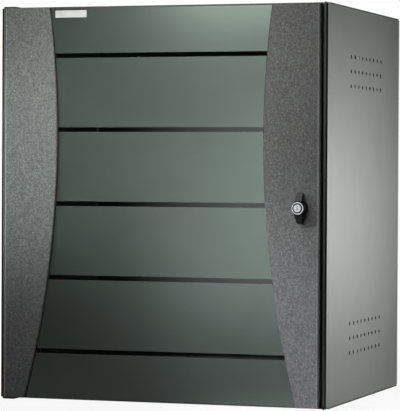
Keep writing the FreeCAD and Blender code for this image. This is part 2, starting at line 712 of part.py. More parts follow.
def door_rail():
    """Upper rail behind the glass; its top flange caps the glass."""
    low = DOOR_TOP - DOOR_RAIL_HEIGHT
    path = [(GLASS_Y, DOOR_TOP), (BACK_Y, DOOR_TOP), (BACK_Y, low), (GLASS_BACK_Y, low)]
    reach = CHANNEL_IN_X - SEAT
    return prism("yz", folded(path, DOOR_SHEET, -1), -reach, reach)


def glass_pane():
    pane = box((GLASS_LEFT_X, GLASS_RIGHT_X), (GLASS_Y, GLASS_BACK_Y), (GLASS_LOW, GLASS_TOP))
    return pane.cut(lock_hole(GLASS_HOLE_RADIUS, (GLASS_Y - PAST, GLASS_BACK_Y + PAST)))


def frosted_bands():
    """Frosted layer on the front of the glass, left clear in level stripes."""
    middle = (DOOR_LOW + DOOR_TOP) / 2
    edges = [GLASS_LOW]
    for stripe in range(STRIPE_COUNT):
        z = middle + (stripe - (STRIPE_COUNT - 1) / 2) * STRIPE_PITCH
        edges += [z - STRIPE_HEIGHT / 2, z + STRIPE_HEIGHT / 2]
    edges.append(GLASS_TOP)
    across = (-CHANNEL_IN_X, CHANNEL_IN_X)
    depth = (GLASS_Y - FROST_THICKNESS, GLASS_Y)
    hole = lock_hole(GLASS_HOLE_RADIUS, (GLASS_Y - PAST, GLASS_Y + PAST))
    return [box(across, depth, zs).cut(hole) for zs in zip(edges[0::2], edges[1::2])]


def door_gasket():
    """Foam strips on the door's back, which close against the body's front."""
    depth = (BACK_Y, BACK_Y + GASKET_THICKNESS)
    inner = -HINGE_X - GASKET_EDGE - GASKET_WIDTH
    outer = -HINGE_X - GASKET_EDGE
    low = DOOR_LOW + GASKET_DROP
    high = DOOR_TOP - GASKET_DROP
    hinge_top = PEG_Z - PIN_TRAVEL - GASKET_PEG_GAP
    across = (-inner + GASKET_EDGE, inner - GASKET_EDGE)
    return [
        box((-outer, -inner), depth, (low, hinge_top)),
        box((inner, outer), depth, (low, high)),
        box(across, depth, (low, low + GASKET_WIDTH)),
        box(across, depth, (high - GASKET_WIDTH, high)),
    ]


def hinge_block(zs):
    """Moulded block in the left channel, bored for a hinge pin."""
    across = (HINGE_X - BLOCK_HALF, HINGE_X + BLOCK_HALF)
    depth = (FACE_Y + STILE_SHEET + SEAT, CHANNEL_FLOOR_Y)
    return box(across, depth, zs).cut(hinge_bore(zs))


def hinge_bore(zs):
    return rod(PIN_RADIUS + RUN, V(HINGE_X, HINGE_Y, zs[0] - PAST), V(HINGE_X, HINGE_Y, zs[1] + PAST))


def upper_block():
    """Upper hinge block, open in the middle for the spring and the pull peg."""
    block = hinge_block((BLOCK_TOP - UPPER_BLOCK, BLOCK_TOP))
    half = SPRING_RADIUS + SPRING_WIRE + SEAT
    window = box((HINGE_X - half, HINGE_X + half), (HINGE_Y - half, BACK_Y), (WINDOW_LOW, WINDOW_TOP))
    return block.cut([window] + [screw_recess(seat) for seat in hinge_screw_seats()])


def lower_block():
    block = hinge_block((BLOCK_LOW, BLOCK_LOW + LOWER_BLOCK))
    return block.cut([screw_recess(seat) for seat in hinge_screw_seats()])


def upper_pin():
    """Hinge pin that can be drawn down out of its ear by a cross peg."""
    foot = V(HINGE_X, HINGE_Y, BLOCK_TOP - UPPER_BLOCK)
    pin = rod(PIN_RADIUS, foot, V(HINGE_X, HINGE_Y, HEIGHT - PIN_TIP))
    tip = [edge for edge in pin.Edges if edge.BoundBox.ZMin > HEIGHT - PIN_TIP - NEAR]
    pin = pin.makeChamfer(PIN_TIP, tip)
    hole = V(HINGE_X, HINGE_Y - PIN_RADIUS - PAST, PEG_Z)
    return pin.cut(rod(PEG_RADIUS, hole, V(HINGE_X, BACK_Y, PEG_Z)))


def pull_peg():
    return rod(PEG_RADIUS, V(HINGE_X, HINGE_Y - PIN_RADIUS, PEG_Z), V(HINGE_X, BACK_Y + PEG_OUT, PEG_Z))


def hinge_spring():
    """Coil that pushes the peg, and so the pin, up: six-sided wire in short straight runs."""
    low = WINDOW_LOW + SPRING_WIRE + SEAT
    length = PEG_Z - PEG_RADIUS - SEAT - SPRING_WIRE - low
    runs = SPRING_TURNS * SPRING_RUNS
    points = []
    for step in range(runs + 1):
        angle = 2 * math.pi * step / SPRING_RUNS
        around = V(math.cos(angle), math.sin(angle), 0) * SPRING_RADIUS
        points.append(V(HINGE_X, HINGE_Y, low + length * step / runs) + around)
    ring = six_sided(SPRING_WIRE * math.sqrt(3), points[0], V(0, 1, 0))
    return Part.makePolygon(points).makePipeShell([ring], True, False, 1)


def lower_pin():
    return rod(PIN_RADIUS, V(HINGE_X, HINGE_Y, 0), V(HINGE_X, HINGE_Y, BLOCK_LOW + LOWER_BLOCK - EAR_SHEET))


def hinge_washer():
    """Thrust ring between the lower ear and the block that rests on it."""
    low = V(HINGE_X, HINGE_Y, EAR_SHEET)
    high = V(HINGE_X, HINGE_Y, BLOCK_LOW - RUN)
    return rod(WASHER_RADIUS, low, high).cut(rod(PIN_RADIUS + RUN, low, high))


def chamfered_disc(radius, front, back, chamfer):
    """Round piece on the lock's axis, with its front edge broken."""
    disc = lock_hole(radius, (front, back))
    return disc.makeChamfer(chamfer, [edge for edge in disc.Edges if edge.BoundBox.YMax < front + NEAR])


def lock_housing():
    """Rosette on the stile and a barrel through the door."""
    rosette = chamfered_disc(ROSETTE_RADIUS, FACE_Y - ROSETTE_THICKNESS, FACE_Y, ROSETTE_CHAMFER)
    barrel = lock_hole(BARREL_RADIUS, (FACE_Y, BARREL_END_Y))
    return fused(rosette, barrel).cut(lock_hole(SPINDLE_RADIUS + RUN, (KNOB_Y, CAM_BACK_Y)))


def lock_nut():
    nut = hexagon(LOCK_NUT_FLATS, V(LOCK_X, BACK_Y, LOCK_Z), LOCK_NUT_HEIGHT, V(0, 1, 0))
    return nut.cut(lock_hole(BARREL_RADIUS, (BACK_Y, BACK_Y + LOCK_NUT_HEIGHT)))


def wing_knob():
    """Round knob with a wing across it that slopes from the knob's front to both ends."""
    half = WING_LENGTH / 2
    crest = CREST_LENGTH / 2
    end_y = KNOB_Y - WING_END_HEIGHT
    crest_y = KNOB_Y - WING_HEIGHT
    side_view = [
        (KNOB_Y, LOCK_Z - half),
        (end_y, LOCK_Z - half, WING_END_ROUND),
        (crest_y, LOCK_Z - crest),
        (crest_y, LOCK_Z + crest),
        (end_y, LOCK_Z + half, WING_END_ROUND),
        (KNOB_Y, LOCK_Z + half),
    ]
    wing = prism("yz", side_view, LOCK_X - WING_WIDTH, LOCK_X + WING_WIDTH)
    wide = WING_WIDTH / 2
    narrow = WING_END_WIDTH / 2
    front_view = [
        (LOCK_X - narrow, LOCK_Z - half, WING_CORNER),
        (LOCK_X + narrow, LOCK_Z - half, WING_CORNER),
        (LOCK_X + wide, LOCK_Z),
        (LOCK_X + narrow, LOCK_Z + half, WING_CORNER),
        (LOCK_X - narrow, LOCK_Z + half, WING_CORNER),
        (LOCK_X - wide, LOCK_Z),
    ]
    wing = wing.common(prism("xz", front_view, crest_y - PAST, KNOB_Y))
    knob = fused(chamfered_disc(KNOB_RADIUS, KNOB_FRONT_Y, KNOB_Y, KNOB_CHAMFER), wing)
    seat = lock_hole(BEZEL_RADIUS + RUN, (KNOB_FRONT_Y - PAST, KNOB_FRONT_Y + BEZEL_SEAT))
    return knob.cut(seat).cut(lock_hole(PLUG_RADIUS + RUN, (KNOB_FRONT_Y, PLUG_FRONT_Y + PLUG_DEPTH)))


def lock_bezel():
    """Bright ring let into the knob's front."""
    ys = (KNOB_FRONT_Y - BEZEL_PROUD, KNOB_FRONT_Y + BEZEL_SEAT)
    return chamfered_disc(BEZEL_RADIUS, *ys, BEZEL_CHAMFER).cut(lock_hole(BEZEL_BORE, ys))


def key_cylinder():
    """Round plug in the knob, with its keyway."""
    plug = lock_hole(PLUG_RADIUS, (PLUG_FRONT_Y, PLUG_FRONT_Y + PLUG_DEPTH))
    wide = KEYWAY_WIDTH / 2
    tall = KEYWAY_HEIGHT / 2
    across = (LOCK_X - wide, LOCK_X + wide)
    along = (PLUG_FRONT_Y - PAST, PLUG_FRONT_Y + KEYWAY_DEPTH)
    return plug.cut(box(across, along, (LOCK_Z - tall, LOCK_Z + tall)))


def lock_spindle():
    """Shaft from the knob to the cam, squared at its end and tapped for the cam's screw."""
    shaft = lock_hole(SPINDLE_RADIUS, (KNOB_Y, CAM_Y))
    half = SPINDLE_SQUARE / 2
    end = box((LOCK_X - half, LOCK_X + half), (CAM_Y, CAM_BACK_Y), (LOCK_Z - half, LOCK_Z + half))
    return fused(shaft, end).cut(lock_hole(CAM_SCREW_RADIUS, (CAM_BACK_Y - CAM_SCREW_LENGTH, CAM_BACK_Y)))


def lock_cam():
    """Flat tongue on the spindle, hanging down while the door is free to swing."""
    wide = CAM_WIDTH / 2
    tip = LOCK_Z - CAM_REACH
    head = LOCK_Z + wide
    points = [
        (LOCK_X - wide, tip, CAM_TIP_CORNER),
        (LOCK_X + wide, tip, CAM_TIP_CORNER),
        (LOCK_X + wide, head, CAM_HEAD_CORNER),
        (LOCK_X - wide, head, CAM_HEAD_CORNER),
    ]
    half = SPINDLE_SQUARE / 2
    square = box((LOCK_X - half, LOCK_X + half), (CAM_Y, CAM_BACK_Y), (LOCK_Z - half, LOCK_Z + half))
    return prism("xz", points, CAM_Y, CAM_BACK_Y).cut(square)


def cam_screw():
    head = hexagon(CAM_SCREW_FLATS, V(LOCK_X, CAM_BACK_Y, LOCK_Z), CAM_SCREW_HEAD, V(0, 1, 0))
    return fused(head, lock_hole(CAM_SCREW_RADIUS, (CAM_BACK_Y - CAM_SCREW_LENGTH, CAM_BACK_Y)))


def earth_stud():
    foot = V(EARTH_X, RIM_Y + EARTH_FROM_RIM, PANEL_SHEET)
    return rod(BOLT_RADIUS, foot, foot + V(0, 0, EARTH_HEIGHT))


def earth_nuts():
    solids = []
    for level in (0, 1):
        seat = V(EARTH_X, RIM_Y + EARTH_FROM_RIM, PANEL_SHEET + level * (NUT_HEIGHT + SEAT))
        nut = hexagon(NUT_FLATS, seat, NUT_HEIGHT, V(0, 0, 1))
        solids.append(nut.cut(rod(BOLT_RADIUS, seat, seat + V(0, 0, NUT_HEIGHT))))
    return solids


def build():
    """Every piece by name; a list is a set of like pieces in one node."""
    right_stile = stile().cut(lock_hole(BARREL_RADIUS + SCREW_CLEAR, (FACE_Y - PAST, FACE_Y + STILE_LIP)))
    right_channel = door_channel().cut(lock_hole(BARREL_RADIUS + SCREW_CLEAR, (GLASS_Y, BACK_Y + PAST)))
    right_carrier = rail_carrier()
    left_carrier = mirrored(right_carrier)
    right_panel_screws = panel_screws()
    stile_screws = [screw_recess(seat) for seat in stile_screw_seats()]
    cable_cover = cover_plate(CABLE_CENTRE, CABLE_SLOT_LENGTH, CABLE_SLOT_WIDTH, CABLE_SCREWS)
    cable_screws = cover_screws(CABLE_CENTRE, CABLE_SCREWS)
    return {
        "top_panel": top_panel(),
        "bottom_panel": flipped(end_panel()),
        "rear_panel": rear_panel(),
        "left_side_panel": mirrored(side_panel()),
        "right_side_panel": side_panel(),
        "left_front_post": left_post(),
        "right_front_post": front_post(),
        "upper_hinge_ear": hinge_ear(),
        "lower_hinge_ear": flipped(hinge_ear()),
        "lower_hinge_pin": lower_pin(),
        "hinge_washer": hinge_washer(),
        "lower_right_carrier": right_carrier,
        "upper_right_carrier": flipped(right_carrier),
        "lower_left_carrier": left_carrier,
        "upper_left_carrier": flipped(left_carrier),
        "side_panel_screws": right_panel_screws + [mirrored(screw) for screw in right_panel_screws],
        "top_cable_cover": cable_cover,
        "bottom_cable_cover": flipped(cable_cover),
        "fan_cover": cover_plate(FAN_CENTRE, 2 * FAN_RADIUS, 2 * FAN_RADIUS, FAN_SCREWS),
        "top_cover_screws": cable_screws + cover_screws(FAN_CENTRE, FAN_SCREWS),
        "bottom_cover_screws": [flipped(screw) for screw in cable_screws],
        "earth_stud": earth_stud(),
        "earth_nuts": earth_nuts(),
        "right_mounting_rail": mounting_rail(),
        "right_rail_bolts": rail_bolts(),
        "right_rail_nuts": rail_nuts(),
        "left_mounting_rail": mirrored(mounting_rail()),
        "left_rail_bolts": [mirrored(bolt) for bolt in rail_bolts()],
        "left_rail_nuts": [mirrored(nut) for nut in rail_nuts()],
        "left_stile": mirrored(stile()),
        "right_stile": right_stile,
        "door_left_channel": left_channel(),
        "door_right_channel": right_channel,
        "door_top_rail": door_rail(),
        "door_bottom_rail": flipped(door_rail()),
        "stile_screws": stile_screws + [mirrored(screw) for screw in stile_screws],
        "glass_pane": glass_pane(),
        "frosted_bands": frosted_bands(),
        "door_gasket": door_gasket(),
        "upper_hinge_block": upper_block(),
        "lower_hinge_block": lower_block(),
        "hinge_block_screws": [screw_recess(seat) for seat in hinge_screw_seats()],
        "hinge_spring": hinge_spring(),
        "upper_hinge_pin": upper_pin(),
        "hinge_pull_peg": pull_peg(),
        "lock_housing": lock_housing(),
        "lock_nut": lock_nut(),
        "wing_knob": wing_knob(),
        "lock_bezel": lock_bezel(),
        "lock_spindle": lock_spindle(),
        "lock_cam": lock_cam(),
        "cam_screw": cam_screw(),
        "key_cylinder": key_cylinder(),
    }


os.makedirs("parts", exist_ok=True)
for name, piece in build().items():
    shape = Part.makeCompound(piece) if isinstance(piece, list) else piece
    shape.exportStep(f"parts/{name}.step")
    print(name, len(shape.Solids), "solids", round(shape.Volume / 1000, 2), "cm3", shape.isValid())
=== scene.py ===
# %% [markdown]
# # A glazed wall cabinet, dressed in Blender
#
# The cabinet's solids were built at their real size in CAD. Here they are loaded as a fixed frame, and
# this lesson gives each of them its finish: powder coats, frosted and clear glass, plated steel, plastic.
# Nothing that was modelled in CAD is moved. One step is one cell, and most cells print what they made.

# %% Load the cabinet
import json
import math

import bmesh
import bpy
from mathutils import Matrix, Vector


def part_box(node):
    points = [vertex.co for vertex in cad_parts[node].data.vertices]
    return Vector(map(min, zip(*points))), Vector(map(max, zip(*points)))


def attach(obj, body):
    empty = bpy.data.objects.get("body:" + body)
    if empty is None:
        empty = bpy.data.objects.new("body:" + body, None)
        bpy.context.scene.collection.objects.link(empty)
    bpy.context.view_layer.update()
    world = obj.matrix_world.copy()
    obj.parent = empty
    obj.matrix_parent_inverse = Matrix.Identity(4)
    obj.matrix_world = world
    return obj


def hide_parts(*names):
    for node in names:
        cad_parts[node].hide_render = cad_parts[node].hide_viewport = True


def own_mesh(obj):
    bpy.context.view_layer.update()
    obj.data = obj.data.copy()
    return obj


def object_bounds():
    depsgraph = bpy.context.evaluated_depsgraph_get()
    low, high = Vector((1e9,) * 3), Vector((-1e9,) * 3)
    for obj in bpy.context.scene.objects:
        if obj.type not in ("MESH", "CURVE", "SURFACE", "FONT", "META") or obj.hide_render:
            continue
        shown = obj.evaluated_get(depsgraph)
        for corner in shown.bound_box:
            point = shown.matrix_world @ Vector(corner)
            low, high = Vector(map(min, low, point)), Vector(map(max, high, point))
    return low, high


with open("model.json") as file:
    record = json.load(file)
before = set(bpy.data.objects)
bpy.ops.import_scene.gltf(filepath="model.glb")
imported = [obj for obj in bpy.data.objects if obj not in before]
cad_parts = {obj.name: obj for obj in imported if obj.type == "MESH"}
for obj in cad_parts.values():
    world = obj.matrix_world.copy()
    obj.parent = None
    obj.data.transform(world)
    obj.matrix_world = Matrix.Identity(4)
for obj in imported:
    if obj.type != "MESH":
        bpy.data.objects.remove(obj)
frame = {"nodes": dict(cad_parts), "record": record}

CAD_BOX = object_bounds()
print("loaded", len(frame["nodes"]), "pieces, from", tuple(CAD_BOX[0]), "to", tuple(CAD_BOX[1]))

# %% [markdown]
# ## Shader maths as plain expressions
#
# A finish is a small sum: grain times contrast, plus flecks. Node by node, such a sum is long to write and
# hard to read. So one class wraps an output socket, and its operators add the Math nodes. Every other node
# comes from its `node` method, which sets a node's own settings first and then its sockets.


# %% A socket that does arithmetic
def find_socket(sockets, key):
    """The socket with that number, or the one in use that has that name."""
    if isinstance(key, int):
        return sockets[key]
    return next(socket for socket in sockets if socket.name == key and socket.enabled)


def plug(node, inlets):
    """Sets a node's sockets: a wire is linked, and anything else is the socket's own value."""
    for key, value in inlets.items():
        socket = find_socket(node.inputs, key)
        if isinstance(value, Wire):
            node.id_data.links.new(value.socket, socket)
        else:
            socket.default_value = value


class Wire:
    """An output socket. Operators on it add Math nodes to its tree."""

    def __init__(self, socket):
        self.socket = socket

    def node(self, kind, settings, inlets, outlet=0):
        """Adds any other node to the tree and gives one of its outputs."""
        made = self.socket.id_data.nodes.new(kind)
        for name, value in settings.items():
            setattr(made, name, value)
        plug(made, inlets)
        return Wire(find_socket(made.outputs, outlet))

    def maths(self, operation, first, second=0.0):
        """A Math node on two values, of which at least one is a wire."""
        return self.node("ShaderNodeMath", {"operation": operation}, {0: first, 1: second})

    def along(self, axis):
        """One coordinate of a vector, by its letter."""
        return self.node("ShaderNodeSeparateXYZ", {}, {0: self}, axis)

    def __add__(self, other):
        return self.maths("ADD", self, other)

    def __radd__(self, other):
        return self.maths("ADD", other, self)

    def __sub__(self, other):
        return self.maths("SUBTRACT", self, other)

    def __rsub__(self, other):
        return self.maths("SUBTRACT", other, self)

    def __mul__(self, other):
        return self.maths("MULTIPLY", self, other)

    def __rmul__(self, other):
        return self.maths("MULTIPLY", other, self)


print("shader maths is ready:", [name for name in vars(Wire) if name.startswith("__r")])

# %% [markdown]
# ## Patterns with a size in metres
#
# Paint grain, frost and plating all have a real scale. Blender's textures take a scale, which is one over a
# size, so these helpers take the size itself. Each node's own coordinates are metres of the whole
# cabinet, so one grain runs over all the pieces that share a finish.


# %% Noise, cells, steps and mixed colours
def noise(place, size, detail=2.0):
    """Cloudy values around 0.5, with lumps about that many metres across."""
    return place.node("ShaderNodeTexNoise", {}, {"Vector": place, "Scale": 1 / size, "Detail": detail})


def cells(place, size, outlet="Distance"):
    """Cells about that many metres across: the distance from a cell's seed, or the cell's own colour."""
    return place.node("ShaderNodeTexVoronoi", {}, {"Vector": place, "Scale": 1 / size}, outlet)


def step(value, start, end):
    """0 at start, 1 at end and a soft slope between them."""
    limits = {"Value": value, "From Min": start, "From Max": end}
    return value.node("ShaderNodeMapRange", {"interpolation_type": "SMOOTHSTEP"}, limits)


def mixed(share, first, second):
    """The first colour where share is 0, and the second where it is 1."""
    inlets = {"Factor": share, "A": first, "B": second}
    return share.node("ShaderNodeMix", {"data_type": "RGBA"}, inlets, "Result")


def stretched(place, along):
    """The same place with its axes scaled, to draw a pattern out into streaks."""
    return place.node("ShaderNodeVectorMath", {"operation": "MULTIPLY"}, {0: place, 1: along})


def bumps(height, depth, strength=1.0):
    """The normal of a surface whose relief is that many metres deep."""
    return height.node("ShaderNodeBump", {}, {"Height": height, "Distance": depth, "Strength": strength})


def grey(level, warmth=0.0):
    """A nearly neutral colour, cooler where warmth is below zero."""
    return (level * (1 + warmth), level, level * (1 - warmth), 1)


def new_finish(name):
    """A new material, the place on the cabinet as a wire, and the shader to plug into."""
    material = bpy.data.materials.new(name)
    material.use_nodes = True
    tree = material.node_tree
    place = Wire(tree.nodes.new("ShaderNodeTexCoord").outputs["Object"])
    return material, place, tree.nodes["Principled BSDF"]


FINISHES = {}
print("patterns are ready")

# %% [markdown]
# ## The stiles' powder coat
#
# The two curved stiles wear a charcoal powder coat with a coarse metallic grain, which reads as salt and
# pepper from across a room. It could be an image, but two noises and a sprinkle of cells give the same
# grain at any distance. No two flecks glint alike, so each cell's own random colour sets how pale its fleck
# is. The grain is also a little relief, so that a low light catches it. Down the rolled outer edge of each
# stile a pale line is painted into the colour: a painted highlight, where a lamp catches the rounded corner.


# %% Speckled charcoal
GRAIN = 0.0030
FLECK = 0.0042
DARK_GRAIN = grey(0.089, 0.005)
PALE_GRAIN = grey(0.160, 0.005)
# Pale colour of the coat's flakes, and also of the painted highlight on each stile's outer edge.
PALE_FLAKE_AND_HIGHLIGHT = grey(0.50)
# Where the painted highlight lies: a thin band along each stile's rolled outer edge.
HIGHLIGHT_WIDTH = (0.2568, 0.2584)
HIGHLIGHT_DEPTH = (-0.2340, -0.2352)


def speckled_charcoal():
    material, place, shader = new_finish("stile_paint")
    grain = noise(place, GRAIN, 3.0)
    cloud = noise(place, 4 * GRAIN, 1.0)
    body = mixed(step(0.88 * grain + 0.12 * cloud, 0.30, 0.70), DARK_GRAIN, PALE_GRAIN)
    fleck = step(cells(place, FLECK), 0.20, 0.06)
    glint = cells(place, FLECK, "Color").along("X")
    coat = mixed(glint * fleck, body, PALE_FLAKE_AND_HIGHLIGHT)
    outward = place.maths("ABSOLUTE", place.along("X"))
    # Painted highlight: a pale line along the rolled outer edge, where a lamp catches the rounded corner.
    painted_highlight = step(outward, *HIGHLIGHT_WIDTH) * step(place.along("Y"), *HIGHLIGHT_DEPTH)
    plug(shader, {
        "Base Color": mixed(painted_highlight * (0.10 + 0.40 * grain), coat, PALE_FLAKE_AND_HIGHLIGHT),
        "Roughness": 0.58 - 0.22 * grain,
        "Specular IOR Level": 0.18,
        "Normal": bumps(grain, 0.0004, 0.5),
    })
    return material


FINISHES["stile_paint"] = speckled_charcoal()
print("made", FINISHES["stile_paint"].name)

# %% [markdown]
# ## The panels' satin grey
#
# Sides, top, bottom and rear are folded sheet with a satin powder coat. Such a coat has a fine orange peel
# and is never quite even. A faint cloud changes its tone, and the peel changes only the surface's
# slope, because real peel shows in reflections and not in colour. The body between the side panels, its
# posts and its two ends, takes a darker copy of the coat as painted shade, which draws dark lines along the
# side panels' top and bottom edges. So the recipe takes the tone.


# %% Satin grey
GREENISH = Vector((0.935, 1.0, 0.920))


def satin_grey(name, level):
    material, place, shader = new_finish(name)
    cloud = noise(place, 0.055, 3.0)
    fine = noise(place, 0.0026, 2.0)
    dark, light = [(*(tone * GREENISH), 1) for tone in (0.92 * level, 1.08 * level)]
    plug(shader, {
        "Base Color": mixed(step(0.35 * cloud + 0.65 * fine, 0.32, 0.68), dark, light),
        "Roughness": 0.36 + 0.12 * fine,
        "Normal": bumps(fine, 0.00025, 0.35),
    })
    return material


FINISHES["panel_paint"] = satin_grey("panel_paint", 0.170)
# A darker copy of the panel coat for the body: painted shade along the side panels' top and bottom edges.
SHADED_BODY_PAINT = satin_grey("shaded_body_paint", 0.080)
print("made", FINISHES["panel_paint"].name, "and", SHADED_BODY_PAINT.name)

# %% [markdown]
# ## The frame's charcoal
#
# The hinge ears and the channels behind the glass are nearly black, in the same kind of coat.


# %% Satin charcoal
def satin_charcoal():
    material, place, shader = new_finish("frame_paint")
    fine = noise(place, 0.002, 2.0)
    cloud = noise(place, 0.03, 2.0)
    plug(shader, {
        "Base Color": mixed(step(cloud, 0.3, 0.7), grey(0.018), grey(0.030)),
        "Roughness": 0.40 + 0.14 * fine,
        "Normal": bumps(fine, 0.0002, 0.35),
    })
    return material


FINISHES["frame_paint"] = satin_charcoal()
print("made", FINISHES["frame_paint"].name)

# %% [markdown]
# ## Glass, frosted and clear
#
# The door's pane is tempered glass with a frosted grey-green print that leaves five clear stripes. The print
# hides what is behind it, so it is an opaque, half-rough coat. The clear pane is true glass: light
# passes it, and what shows in the stripes is the dark inside of the cabinet and the room's reflection.


# %% Frosted print and clear glass
def frosted_print():
    material, place, shader = new_finish("frosted_glass")
    frost = noise(place, 0.0012, 2.0)
    cloud = noise(place, 0.09, 2.0)
    tone = step(0.7 * cloud + 0.3 * frost, 0.3, 0.7)
    plug(shader, {
        "Base Color": mixed(tone, (0.034, 0.040, 0.0365, 1), (0.041, 0.048, 0.044, 1)),
        "Roughness": 0.18 + 0.08 * frost,
        "Normal": bumps(frost, 0.00004, 0.3),
        "IOR": 1.6,
        "Specular IOR Level": 1.0,
        "Specular Tint": (0.83, 1.0, 0.88, 1),
    })
    return material


def clear_pane():
    material, place, shader = new_finish("clear_glass")
    smear = step(noise(stretched(place, (1, 1, 0.35)), 0.05, 3.0), 0.45, 0.75)
    plug(shader, {
        "Base Color": (0.86, 0.95, 0.91, 1),
        "Roughness": 0.01 + 0.03 * smear,
        "IOR": 1.52,
        "Transmission Weight": 1.0,
    })
    return material


FINISHES["frosted_glass"] = frosted_print()
FINISHES["clear_glass"] = clear_pane()
print("made", FINISHES["frosted_glass"].name, "and", FINISHES["clear_glass"].name)

# %% [markdown]
# ## Zinc, steel, brass and nickel
#
# Rails, carriers and screws are zinc plated: pale, matt and a little blotchy where the bath dried. Pins and
# the spring are ground steel, with fine lines. The earth stud is brass, and the key cylinder is nickel
# plated. They share one recipe of a metal with streaks, and differ in tint, roughness and size of mark.


# %% Plated and turned metals
def plated(name, dark, light, mark, rough, streaks):
    """A metal between two tints. mark is the size of its blotches, and streaks draws out fine lines."""
    material, place, shader = new_finish(name)
    blotch = noise(place, mark, 3.0)
    lines = noise(stretched(place, streaks), 0.0015, 2.0)
    wear = step(0.65 * blotch + 0.35 * lines, 0.34, 0.66)
    plug(shader, {
        "Base Color": mixed(wear, dark, light),
        "Metallic": 1.0,
        "Roughness": rough + 0.16 * (lines - 0.5),
        "Normal": bumps(lines, 0.00005, 0.5),
    })
    return material


# Each metal: dark tint, light tint, size of its blotches, roughness, streaks
METALS = {
    "zinc_steel": ((0.40, 0.42, 0.44, 1), (0.60, 0.61, 0.62, 1), 0.012, 0.40, (1, 1, 0.15)),
    "bright_steel": ((0.48, 0.48, 0.49, 1), (0.66, 0.66, 0.67, 1), 0.004, 0.26, (0.2, 0.2, 4)),
    "brass": ((0.50, 0.34, 0.13, 1), (0.70, 0.53, 0.25, 1), 0.003, 0.30, (0.2, 0.2, 4)),
    "chrome": ((0.28, 0.28, 0.29, 1), (0.44, 0.44, 0.44, 1), 0.002, 0.26, (0.2, 3, 0.2)),
}
for name, values in METALS.items():
    FINISHES[name] = plated(name, *values)
print("made", list(METALS))

# %% [markdown]
# ## Moulded and foamed pieces
#
# Knob and rosette are moulded in glossy black, and the hinge blocks in matt nylon. A mould leaves a fine
# spark-eroded texture. The door's seal is a foam strip, and its open skin of small pores is a
# pattern of cells.


# %% Plastics and foam
def moulded(name, level, rough, shine, texture):
    """A dark plastic or rubber. texture is the size of the mould's fine marks."""
    material, place, shader = new_finish(name)
    fine = noise(place, texture, 2.0)
    worn = noise(place, 0.009, 3.0)
    plug(shader, {
        "Base Color": mixed(step(worn, 0.35, 0.7), grey(level), grey(1.5 * level)),
        "Roughness": rough + 0.12 * (fine - 0.5) + 0.10 * step(worn, 0.5, 0.7),
        "Specular IOR Level": shine,
        "Normal": bumps(fine, 0.00005, 0.5),
    })
    return material


def pored_foam():
    material, place, shader = new_finish("foam")
    pores = step(cells(place, 0.0011), 0.15, 0.5)
    plug(shader, {
        "Base Color": mixed(pores, grey(0.012), grey(0.034)),
        "Roughness": 0.92,
        "Normal": bumps(pores, 0.0003, 0.7),
    })
    return material


FINISHES["black_plastic"] = moulded("black_plastic", 0.004, 0.30, 0.22, 0.0008)
FINISHES["nylon"] = moulded("nylon", 0.040, 0.55, 0.5, 0.0006)
FINISHES["foam"] = pored_foam()
# Black rubber for the strip beside each side panel and the bead beside each stile, both put as painted
# shade.
SHADE_RUBBER = moulded("rubber", 0.004, 0.75, 0.15, 0.0005)
print("made", [FINISHES[name].name for name in ("black_plastic", "nylon", "foam")], "and", SHADE_RUBBER.name)

# %% [markdown]
# ## Dress the pieces
#
# The record says which finish each CAD piece takes, so no list of those is kept here. Only the body, which
# takes the darker copy of the panel coat as painted shade, has its names listed.

# %% Give each CAD piece its finish
# These pieces take the darker copy of the panel coat, as painted shade.
BODY_NODES = ("left_front_post", "right_front_post", "top_panel", "bottom_panel")
for subpart in frame["record"]["subparts"]:
    name = subpart["node"]
    mesh = frame["nodes"][name].data
    mesh.materials.clear()
    mesh.materials.append(SHADED_BODY_PAINT if name in BODY_NODES else FINISHES[subpart["material_slot"]])

# %% [markdown]
# ## The bare plate
#
# A small pale plate sits near the top left corner of the glass. It is a thin printed foil on a stiff
# backing, here with nothing on it. Its corners are rounded by a bevel of the upright edges, and its rim by a
# second, smaller one.


# %% Plate on the glass
def piece_of(name, shape):
    """Turns a finished bmesh into an object in the scene."""
    mesh = bpy.data.meshes.new(name)
    shape.to_mesh(mesh)
    shape.free()
    piece = bpy.data.objects.new(name, mesh)
    bpy.context.scene.collection.objects.link(piece)
    return piece


def rounded_plate(name, low, high, corner, rim):
    """A plate between two corners of a box, thin along Y, with rounded corners and a soft rim."""
    shape = bmesh.new()
    size = high - low
    middle = (low + high) / 2
    place = Matrix.Translation(middle) @ Matrix.Diagonal((*size, 1))
    bmesh.ops.create_cube(shape, size=1, matrix=place)
    across = [edge for edge in shape.edges if abs((edge.verts[0].co - edge.verts[1].co).y) > size.y / 2]
    bmesh.ops.bevel(shape, geom=across, offset=corner, segments=6, profile=0.5, affect="EDGES")
    front = [edge for edge in shape.edges if all(vert.co.y < middle.y for vert in edge.verts)]
    bmesh.ops.bevel(shape, geom=front, offset=rim, segments=3, profile=0.5, affect="EDGES")
    return piece_of(name, shape)


def pale_foil():
    material, place, shader = new_finish("pale_foil")
    fine = noise(place, 0.0009, 2.0)
    cloud = noise(place, 0.010, 2.0)
    plug(shader, {
        "Base Color": mixed(step(0.5 * cloud + 0.5 * fine, 0.35, 0.65), grey(0.50), grey(0.60)),
        "Roughness": 0.42 + 0.1 * fine,
        "Normal": bumps(fine, 0.00003, 0.5),
    })
    return material


